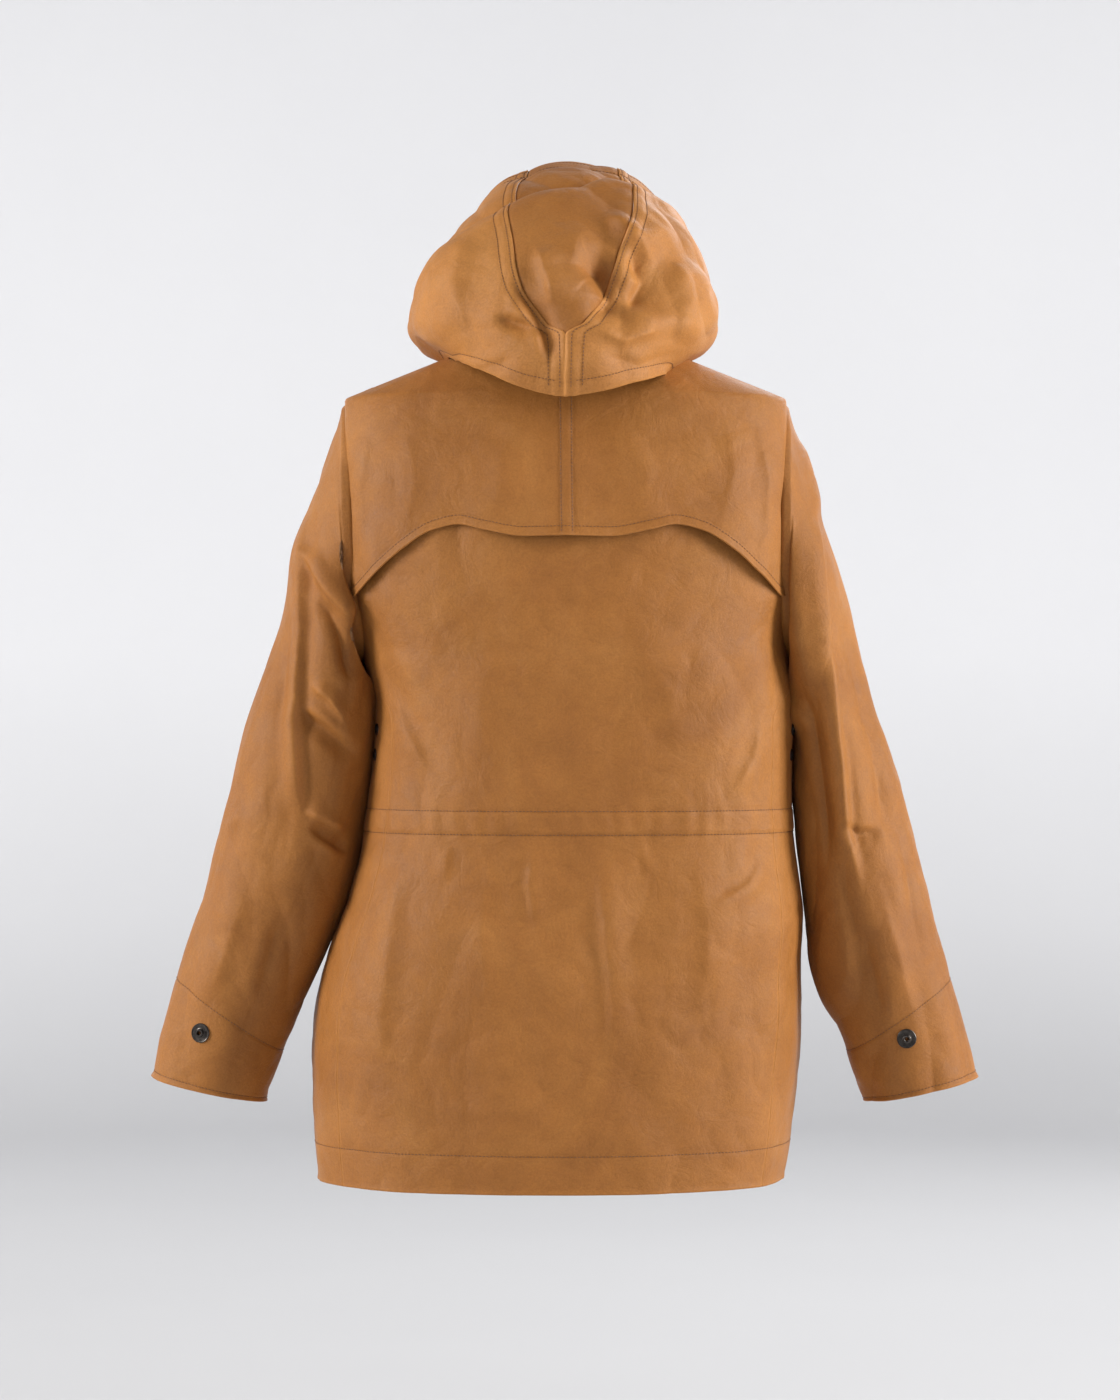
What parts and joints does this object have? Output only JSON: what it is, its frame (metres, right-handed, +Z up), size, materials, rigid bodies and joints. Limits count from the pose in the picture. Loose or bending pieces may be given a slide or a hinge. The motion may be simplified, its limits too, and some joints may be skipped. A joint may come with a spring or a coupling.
{
  "type": "hooded storm coat",
  "caption": "Hooded waxed storm coat with a back cape, snapped storm placket over a zip, flap pockets and snap cuffs, standing as worn.",
  "frame": {"origin": "middle of the neck opening, level with the back neck seam", "axes": "+X to the wearer's left, +Y towards the back, +Z up"},
  "size_m": [0.802, 0.3473, 0.9888],
  "materials": {
    "shell_cloth": "matte",
    "lining_cloth": "matte",
    "trim_cloth": "matte",
    "zip_tape_cloth": "matte",
    "zip_teeth_plastic": "matte",
    "zip_metal": "polished",
    "snap_metal": "polished",
    "eyelet_metal": "satin"
  },
  "bodies": {
    "coat": {"back_panel": "shell_cloth", "back_yoke": "shell_cloth", "front_snap_rivets": "snap_metal", "front_snap_studs": "snap_metal", "hanger_loop": "trim_cloth", "hem_facings": "lining_cloth", "hood_neck_band": "shell_cloth", "left_front_facing": "shell_cloth", "left_front_panel": "shell_cloth", "left_pocket": "shell_cloth", "left_pocket_studs": "snap_metal", "left_zip_tape": "zip_tape_cloth", "left_zip_teeth": "zip_teeth_plastic", "neck_label": "trim_cloth", "right_front_facing": "shell_cloth", "right_front_panel": "shell_cloth", "right_pocket": "shell_cloth", "right_pocket_studs": "snap_metal", "right_zip_tape": "zip_tape_cloth", "right_zip_teeth": "zip_teeth_plastic", "stand_collar": "shell_cloth", "storm_cape_left": "shell_cloth", "storm_cape_right": "shell_cloth", "underarm_eyelets": "eyelet_metal", "underarm_washers": "eyelet_metal", "waist_channel": "lining_cloth", "zip_retainer_box": "zip_teeth_plastic"},
    "hood": {"hood_left_panel": "shell_cloth", "hood_right_panel": "shell_cloth", "hood_centre_panel": "shell_cloth", "hood_edge_facing": "shell_cloth"},
    "placket": {"placket": "shell_cloth", "placket_snap_caps": "snap_metal", "placket_snap_sockets": "snap_metal"},
    "zip_slider_body": {"zip_slider": "zip_metal"},
    "zip_pull_body": {"zip_pull": "zip_metal"},
    "left_sleeve": {"left_sleeve_upper": "shell_cloth", "left_sleeve_under": "shell_cloth", "left_cuff_facing": "shell_cloth", "left_cuff_stud": "snap_metal", "left_cuff_socket": "snap_metal", "left_cuff_rivets": "snap_metal"},
    "left_flap": {"left_pocket_flap": "shell_cloth", "left_flap_snap_caps": "snap_metal", "left_flap_snap_sockets": "snap_metal"},
    "right_sleeve": {"right_sleeve_upper": "shell_cloth", "right_sleeve_under": "shell_cloth", "right_cuff_facing": "shell_cloth", "right_cuff_stud": "snap_metal", "right_cuff_socket": "snap_metal", "right_cuff_rivets": "snap_metal"},
    "right_flap": {"right_pocket_flap": "shell_cloth", "right_flap_snap_caps": "snap_metal", "right_flap_snap_sockets": "snap_metal"}
  },
  "joints": [
    {"name": "hood_fold", "type": "hinge", "parent": "coat", "child": "hood", "pos_m": [0, 0.1, 0], "axis": [-1, 0, 0], "range_deg": [0, 40], "deforming": ["hood_neck_band"]},
    {"name": "left_sleeve_raise", "type": "hinge", "parent": "coat", "child": "left_sleeve", "pos_m": [0.2135, 0, -0.032], "axis": [0, -1, 0], "range_deg": [0, 45]},
    {"name": "right_sleeve_raise", "type": "hinge", "parent": "coat", "child": "right_sleeve", "pos_m": [-0.2135, 0, -0.032], "axis": [0, 1, 0], "range_deg": [0, 45]},
    {"name": "placket_open", "type": "hinge", "parent": "coat", "child": "placket", "pos_m": [0.0384, -0.1497, -0.5045], "axis": [0, 0, 1], "range_deg": [0, 110]},
    {"name": "left_flap_lift", "type": "hinge", "parent": "coat", "child": "left_flap", "pos_m": [0.15445, -0.14741, -0.466], "axis": [-0.9032, -0.4292, 0], "range_deg": [0, 110]},
    {"name": "right_flap_lift", "type": "hinge", "parent": "coat", "child": "right_flap", "pos_m": [-0.15445, -0.14741, -0.466], "axis": [-0.9032, 0.4292, 0], "range_deg": [0, 110]},
    {"name": "zip_slide", "type": "slide", "parent": "coat", "child": "zip_slider_body", "axis": [0, 0, -1], "range_m": [0, 0.446]},
    {"name": "zip_pull_swing", "type": "hinge", "parent": "zip_slider_body", "child": "zip_pull_body", "pos_m": [0, -0.14335, -0.241], "axis": [0, 1, 0], "range_deg": [-60, 60]}
  ]
}
